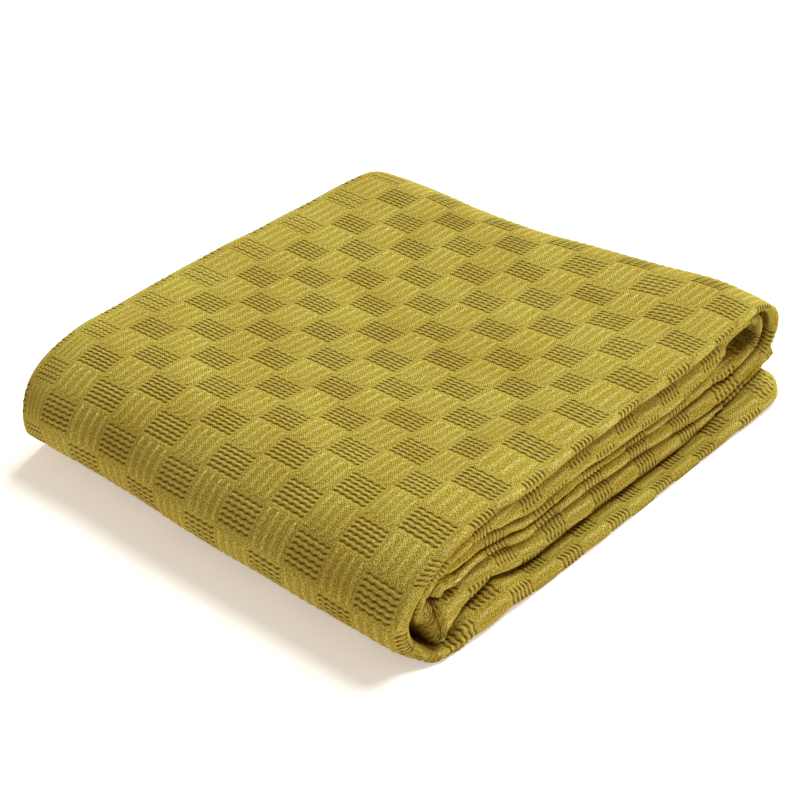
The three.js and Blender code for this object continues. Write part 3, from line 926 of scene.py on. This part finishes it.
class Nodes:
    """Builds the nodes of a material or of the world from plain expressions."""

    def __init__(self, owner):
        owner.use_nodes = True
        self.nodes = owner.node_tree.nodes
        self.links = owner.node_tree.links

    def join(self, value, socket):
        if isinstance(value, (int, float)):
            socket.default_value = value
        elif isinstance(value, tuple):
            socket.default_value = (*value, 1)
        else:
            self.links.new(value, socket)

    def fill(self, node, values):
        """Joins a node's inputs, by name."""
        for name, value in values.items():
            self.join(value, node.inputs[name])
        return node

    def math(self, operation, *values):
        node = self.nodes.new("ShaderNodeMath")
        node.operation = operation
        for value, socket in zip(values, node.inputs):
            self.join(value, socket)
        return node.outputs[0]

    def add(self, a, b):
        return self.math("ADD", a, b)

    def times(self, *values):
        result = values[0]
        for value in values[1:]:
            result = self.math("MULTIPLY", result, value)
        return result

    def fade(self, value, start, end, low=0.0, high=1.0, kind="SMOOTHSTEP"):
        """Low up to start, high from end on, and smooth between."""
        node = self.nodes.new("ShaderNodeMapRange")
        node.interpolation_type = kind
        if start > end:
            start, end, low, high = end, start, high, low
        limits = {"From Min": start, "From Max": end, "To Min": low, "To Max": high}
        return self.fill(node, {"Value": value, **limits}).outputs[0]

    def cosine(self, value, pitch):
        """From 0 to 1, with 1 at every whole pitch."""
        wave = self.math("COSINE", self.times(value, 2 * math.pi / pitch))
        return self.math("MULTIPLY_ADD", wave, 0.5, 0.5)

    def noise(self, vector, scale, detail):
        node = self.nodes.new("ShaderNodeTexNoise")
        return self.fill(node, {"Vector": vector, "Scale": scale, "Detail": detail}).outputs["Fac"]

    def blend(self, share, a, b, kind="MIX"):
        node = self.nodes.new("ShaderNodeMix")
        node.data_type = "RGBA"
        node.blend_type = kind
        self.join(share, node.inputs["Factor"])
        self.join(a, node.inputs[6])
        self.join(b, node.inputs[7])
        return node.outputs[2]


# The material's colours, among them painted shade for the grooves and between the folds, and a painted
# highlight on the ridges and ribs
# pale colour of the faint lines across the ridges, and the painted highlight of the ridges and ribs
LIGHT = (0.61, 0.515, 0.16)
GROUND = (0.485, 0.385, 0.072)
VALLEY = (0.385, 0.29, 0.028)
# painted shade in the grooves: browner, and darkest in the slanted dashes
GROOVE_SHADE = (0.33, 0.215, 0.004)
DASH_SHADE = (0.125, 0.056, 0.0005)
# painted shade for the cloth between its folds
FOLD_SHADE = (0.5, 0.37, 0.13)
SPECK_LOW = (0.64, 0.57, 0.28)
SPECK_HIGH = (1.36, 1.37, 1.52)
SPECK_RIB = (1.04, 1.03, 1.02)
PATCH_BROWN = (0.96, 0.91, 0.85)
PATCH_GREEN = (1.03, 1.05, 1.06)

# Its noises, as scale and detail
UNEVEN = (0.55, 3.0)
PATCHES = (0.018, 2.0)
FUZZ = (0.95, 2.0)
SIDES_APART = 40.0  # keeps the noises of the cloth's two sides apart

# Its patterns, in millimetres on the cloth
YARN = 1.65  # pitch of the ground's plain weave
WAVE_PITCH = 5.2  # pitch of the slanted dashes in the grooves
WAVE_SWING = 0.42  # how far they swing to the sides
CROSS_PITCH = 3.35  # pitch of the faint lines across the ridges

# Where each of them fades in: the level with no share and that with full share, or with the two
# shares given as well
GROOVES_SIDE = (10.4, 9.3)
GROOVES_END = (GROOVE_LENGTH / 2 + 0.6, GROOVE_LENGTH / 2 - 0.9)
RIDGES_END = (RIDGE_LENGTH / 2 + 0.8, RIDGE_LENGTH / 2 - 1.5)
GROOVES_UNEVEN = (0.25, 0.5, 0.75, 1.0)
RIDGES_UNEVEN = (0.3, 0.6, 0.75, 1.0)
FUZZ_LEVEL = (0.3, 0.7, 0.1, 0.9)
VALLEY_LEVEL = (0.35, 0.0, 0.0, 1.0)
RIB_LEVEL = (0.4, 0.05)
SPECK_LEVEL = (0.1, 0.9)
PATCH_LEVEL = (0.35, 0.65)
FOLD_SHADE_LEVEL = (0.75, 0.15)

# How narrow and how strong they are
GROOVE_POWER, GROOVE_SHADE_POWER, RIDGE_POWER, CROSS_POWER = 2.5, 1.6, 3.5, 2.0
DASH_SHARE, DASH_LEAST = 0.75, 0.25
VALLEY_SHARE, RIDGE_SHARE, RIB_SHARE = 0.6, 0.65, 0.5
GROOVE_SHADE_SHARE, CROSS_SHARE, YARN_SHARE, EVEN_SPECK = 0.4, 0.14, 0.3, 0.5
RIDGE_BUMP, GROOVE_BUMP, YARN_BUMP = 0.35, -0.45, 0.3
BUMP_STRENGTH, BUMP_DISTANCE = 0.8, 0.001
FOLD_SHADE_DISTANCE, FOLD_SHADE_SAMPLES = 0.014, 6
ROUGHNESS, SHINE = 0.92, 0.05


class Weave:
    """Where a point of the cloth lies in the weave, as sockets that the material takes up."""

    def __init__(self, m):
        attribute = m.nodes.new("ShaderNodeAttribute")
        attribute.attribute_name = "weave"
        place = m.nodes.new("ShaderNodeSeparateXYZ")
        m.links.new(attribute.outputs["Vector"], place.inputs[0])
        self.x, self.y = place.outputs[0], place.outputs[1]
        column = m.math("FLOOR", m.add(self.x, 0.5))
        row = m.math("FLOOR", m.add(self.y, 0.5))
        self.a = m.times(m.math("SUBTRACT", self.x, column), BLOCK_U)
        self.b = m.times(m.math("SUBTRACT", self.y, row), BLOCK_V)
        self.plain = m.math("PINGPONG", m.add(column, row), 1.0)
        self.ribs = m.math("SUBTRACT", 1.0, self.plain)
        flat = m.nodes.new("ShaderNodeCombineXYZ")
        m.fill(flat, {
            "X": m.times(self.x, BLOCK_U),
            "Y": m.times(self.y, BLOCK_V),
            "Z": m.times(place.outputs[2], SIDES_APART),
        })
        noises = [m.noise(flat.outputs[0], *numbers) for numbers in (UNEVEN, PATCHES, FUZZ)]
        self.uneven, self.patches, self.fuzz = noises


def grooves(m, weave):
    """The ribbed blocks: where their grooves are, how deep, and the dark slanted dashes of painted shade
    in them.
    """
    swing = m.times(m.math("SINE", m.times(weave.b, 2 * math.pi / WAVE_PITCH)), -WAVE_SWING)
    turns = m.math("SUBTRACT", m.times(m.add(weave.a, swing), 1 / GROOVE_PITCH), (GROOVES - 1) / 2)
    groove = m.cosine(turns, 1.0)
    side = m.fade(m.math("ABSOLUTE", weave.a), *GROOVES_SIDE)
    inside = m.times(weave.ribs, side, m.fade(m.math("ABSOLUTE", weave.b), *GROOVES_END))
    depth = m.times(inside, m.math("POWER", groove, GROOVE_POWER))
    dash = m.math("MULTIPLY_ADD", m.cosine(weave.b, WAVE_PITCH), DASH_SHARE, DASH_LEAST)
    dark = m.times(depth, dash, m.fade(weave.uneven, *GROOVES_UNEVEN))
    return inside, groove, depth, dark


def ridges(m, weave):
    """The other blocks: where their ridges are, the valleys between, and faint lines across."""
    turns = m.math("SUBTRACT", m.times(weave.b, 1 / RIDGE_PITCH), 0.5)
    ridge = m.math("POWER", m.cosine(turns, 1.0), RIDGE_POWER)
    length = m.fade(m.math("ABSOLUTE", weave.a), *RIDGES_END)
    ridged = m.times(weave.plain, ridge, length, m.fade(weave.uneven, *RIDGES_UNEVEN))
    valley = m.times(weave.plain, length, m.fade(ridge, *VALLEY_LEVEL))
    cross = m.times(weave.plain, length, m.math("POWER", m.cosine(weave.a, CROSS_PITCH), CROSS_POWER))
    return ridged, valley, cross


def yarns(m, weave):
    """The plain weave of single yarns."""
    over = m.times(
        m.math("SINE", m.times(weave.x, 2 * math.pi * BLOCK_U / YARN)),
        m.math("SINE", m.times(weave.y, 2 * math.pi * BLOCK_V / YARN)),
    )
    return m.math("MULTIPLY_ADD", over, YARN_SHARE, m.fade(weave.fuzz, *FUZZ_LEVEL))


def painted_fold_shade(m, colour):
    """Painted shade: where ambient occlusion finds the cloth between its folds, its colour is made
    browner and darker.
    """
    recess = m.nodes.new("ShaderNodeAmbientOcclusion")
    recess.samples = FOLD_SHADE_SAMPLES
    m.fill(recess, {"Distance": FOLD_SHADE_DISTANCE})
    shaded = m.blend(1.0, colour, FOLD_SHADE, "MULTIPLY")
    return m.blend(m.fade(recess.outputs["AO"], *FOLD_SHADE_LEVEL), colour, shaded)


def cloth_material():
    material = bpy.data.materials.new("woven_cotton")
    m = Nodes(material)
    weave = Weave(m)
    inside, groove, depth, dark = grooves(m, weave)
    ridged, valley, cross = ridges(m, weave)
    fleck = yarns(m, weave)

    colour = m.blend(m.times(valley, VALLEY_SHARE), GROUND, VALLEY)
    # painted highlight on the ridges
    colour = m.blend(m.times(ridged, RIDGE_SHARE), colour, LIGHT)
    # painted highlight on the ribs between the grooves
    rib_highlight = m.times(inside, m.fade(groove, *RIB_LEVEL))
    colour = m.blend(m.times(rib_highlight, RIB_SHARE), colour, LIGHT)
    # painted shade: browner in the grooves
    colour = m.blend(m.times(inside, m.math("POWER", groove, GROOVE_SHADE_POWER), GROOVE_SHADE_SHARE), colour, GROOVE_SHADE)
    colour = m.blend(m.times(cross, CROSS_SHARE), colour, LIGHT)
    # painted shade: the dark slanted dashes in the grooves
    colour = m.blend(dark, colour, DASH_SHADE)
    speck = m.blend(m.fade(fleck, *SPECK_LEVEL), SPECK_LOW, SPECK_HIGH)
    speck = m.blend(m.times(inside, EVEN_SPECK), speck, SPECK_RIB)
    colour = m.blend(1.0, colour, speck, "MULTIPLY")
    patch = m.blend(m.fade(weave.patches, *PATCH_LEVEL), PATCH_BROWN, PATCH_GREEN)
    colour = m.blend(1.0, colour, patch, "MULTIPLY")
    # painted shade: browner and darker between the folds
    colour = painted_fold_shade(m, colour)

    height = m.add(m.times(ridged, RIDGE_BUMP), m.times(depth, GROOVE_BUMP))
    height = m.add(height, m.times(fleck, YARN_BUMP))
    bump = m.nodes.new("ShaderNodeBump")
    m.fill(bump, {"Height": height, "Strength": BUMP_STRENGTH, "Distance": BUMP_DISTANCE})
    m.fill(m.nodes["Principled BSDF"], {
        "Base Color": colour,
        "Normal": bump.outputs["Normal"],
        "Roughness": ROUGHNESS,
        "Specular IOR Level": SHINE,
    })
    return material


def put(name, data):
    thing = bpy.data.objects.new(name, data)
    bpy.context.scene.collection.objects.link(thing)
    return thing


# The blanket
blanket = put("blanket_cloth", blanket_mesh())
blanket.data.materials.append(cloth_material())
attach(blanket, "root")
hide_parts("blanket")


# Floor, light and camera
FLOOR_HALF = 6.0
FLOOR_WHITE = (0.96, 0.94, 0.9)
FLOOR_ROUGHNESS = 0.9
FLOOR_GLOW = 0.45
GLOW_COLOUR = (1, 0.96, 0.92)
KEY_PLACE = (1.0, 0.0, 1.2)
KEY_STRENGTH = 3.55
KEY_SOFTNESS = 35
KEY_COLOUR = (0.87, 1.0, 1.0)
WORLD_COLOUR = (1, 0.79, 0.62)
SIDES_RANGE = (-1, 1, 0.0, 0.72)  # from the left to the right, and how bright it is there
HORIZON_RANGE = (0.08, 0.2, 1.2, 0.0)  # from low to high, and how bright it is there


def floor_material():
    material = bpy.data.materials.new("floor_white")
    m = Nodes(material)
    m.fill(m.nodes["Principled BSDF"], {
        "Base Color": FLOOR_WHITE,
        "Roughness": FLOOR_ROUGHNESS,
        "Emission Color": GLOW_COLOUR,
        "Emission Strength": FLOOR_GLOW,
    })
    return material


def make_floor():
    corners = [(-1, -1), (1, -1), (1, 1), (-1, 1)]
    points = [(FLOOR_HALF * x, FLOOR_HALF * y, 0) for x, y in corners]
    mesh = bpy.data.meshes.new("floor")
    mesh.from_pydata(points, [], [(0, 1, 2, 3)])
    mesh.materials.append(floor_material())
    floor = put("floor", mesh)


def make_sun():
    """A far light that shines from its place towards the origin."""
    light = bpy.data.lights.new("key", "SUN")
    light.energy = KEY_STRENGTH
    light.angle = math.radians(KEY_SOFTNESS)
    light.color = KEY_COLOUR
    lamp = put("key", light)
    lamp.location = KEY_PLACE
    lamp.rotation_euler = (-Vector(KEY_PLACE)).to_track_quat("-Z", "Y").to_euler()


def make_world():
    """Soft surroundings, dimmer on the left, with a pale band along the horizon."""
    world = bpy.data.worlds.new("studio")
    m = Nodes(world)
    place = m.nodes.new("ShaderNodeSeparateXYZ")
    m.links.new(m.nodes.new("ShaderNodeTexCoord").outputs["Generated"], place.inputs[0])
    sides = m.fade(place.outputs[0], *SIDES_RANGE, kind="LINEAR")
    horizon = m.fade(place.outputs[2], *HORIZON_RANGE, kind="LINEAR")
    strength = m.math("MAXIMUM", sides, horizon)
    m.fill(m.nodes["Background"], {"Strength": strength, "Color": WORLD_COLOUR})
    bpy.context.scene.world = world


# The camera was fitted to the photograph's outline and rows of blocks
CAMERA_TARGET = np.array([-57.4, -41.5, 66.0]) + OFFSET
CAMERA_DISTANCE = 1160.3
CAMERA_AZIMUTH = -50.3
CAMERA_ELEVATION = 33.17
IMAGE_SIZE = 800
FOCAL_PIXELS = 1966.3
SENSOR = 36.0


def make_camera():
    azimuth = math.radians(CAMERA_AZIMUTH)
    elevation = math.radians(CAMERA_ELEVATION)
    back = Vector((
        math.sin(azimuth) * math.cos(elevation),
        -math.cos(azimuth) * math.cos(elevation),
        math.sin(elevation),
    ))
    target = Vector(CAMERA_TARGET / 1000)
    data = bpy.data.cameras.new("camera")
    data.sensor_width = SENSOR
    data.lens = FOCAL_PIXELS / IMAGE_SIZE * SENSOR
    camera = put("camera", data)
    camera.location = target + back * CAMERA_DISTANCE / 1000
    camera.rotation_euler = (-back).to_track_quat("-Z", "Y").to_euler()
    bpy.context.scene.camera = camera


make_floor()
make_world()
make_sun()
bpy.context.scene.view_settings.view_transform = "Standard"
make_camera()
